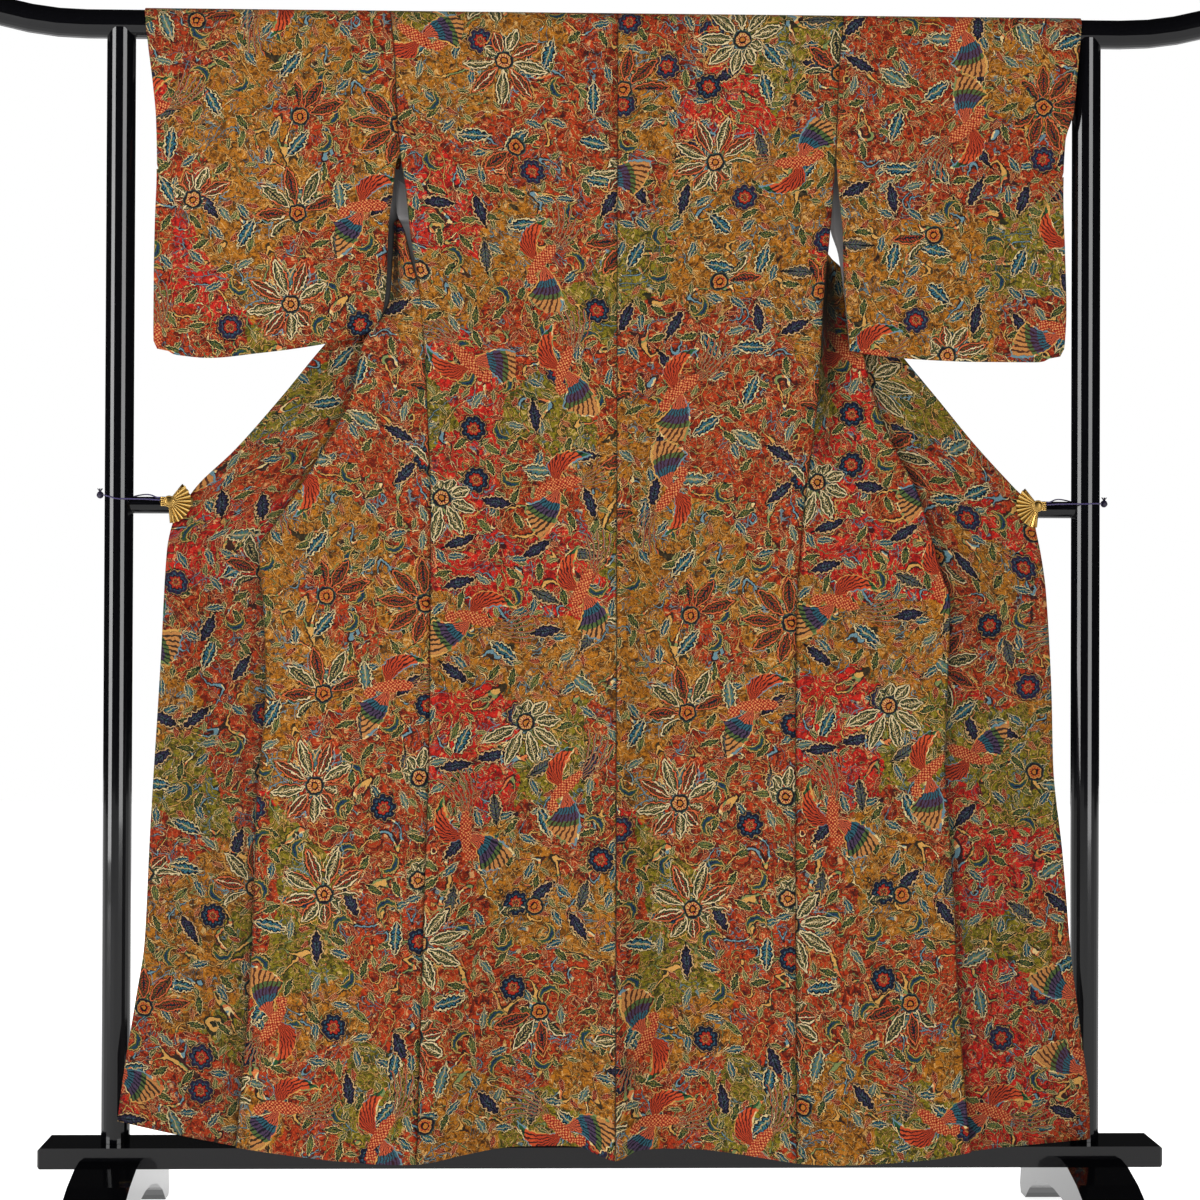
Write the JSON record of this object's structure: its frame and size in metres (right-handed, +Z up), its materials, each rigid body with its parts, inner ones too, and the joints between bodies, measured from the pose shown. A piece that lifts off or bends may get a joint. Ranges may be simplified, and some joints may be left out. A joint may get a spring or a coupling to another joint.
{
  "type": "kimono on a kimono stand",
  "caption": "Women's lined kimono hung open by its back over a black lacquered kimono stand, its front corners drawn out to the posts by fan clips and cords.",
  "frame": {"origin": "on the floor, under the middle of the stand", "axes": "+Z up, X along the stand's rail, and the kimono's back faces -Y"},
  "size_m": [1.8916, 0.516, 1.771],
  "materials": {
    "cloth": "lined figured crepe with an all-over flower print, matt with a soft sheen",
    "lacquer": "wood under smooth black gloss lacquer",
    "gold": "gold-coloured stamped metal, satin",
    "silk_cord": "twisted purple cord"
  },
  "bodies": {
    "root": {"body_left": "cloth", "body_right": "cloth", "okumi_left": "cloth", "okumi_right": "cloth", "sleeve_left": "cloth", "sleeve_right": "cloth", "collar": "cloth", "rail": "lacquer", "crossbar": "lacquer", "plank": "lacquer", "post_left": "lacquer", "post_right": "lacquer", "foot_left": "lacquer", "foot_right": "lacquer", "clip_left": "gold", "clip_right": "gold", "cord_left": "silk_cord", "cord_right": "silk_cord", "bead_left": "silk_cord", "bead_right": "silk_cord"}
  },
  "joints": []
}
